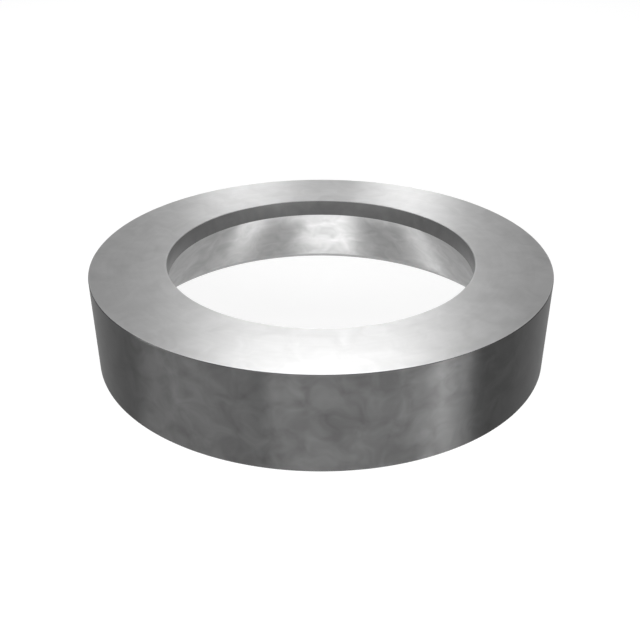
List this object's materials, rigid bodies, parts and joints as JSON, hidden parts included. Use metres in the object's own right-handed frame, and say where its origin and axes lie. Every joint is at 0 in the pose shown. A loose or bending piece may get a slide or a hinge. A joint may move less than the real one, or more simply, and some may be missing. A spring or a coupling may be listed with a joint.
{
  "type": "rolled ring",
  "caption": "Machined seamless rolled steel ring with a short cylindrical bore land that opens into a cone towards the base.",
  "frame": {"origin": "centre of the flat base, on the ring's axis", "axes": "+Z along the ring's axis, from the base with the wide mouth of the cone to the top face with the cylindrical land; the ring is the same all round, so +X is free"},
  "size_m": [0.3, 0.3, 0.0617],
  "materials": {
    "ring_steel": "fine turned steel, grain round the axis"
  },
  "bodies": {
    "root": {"rolled_ring": "ring_steel"}
  },
  "joints": []
}
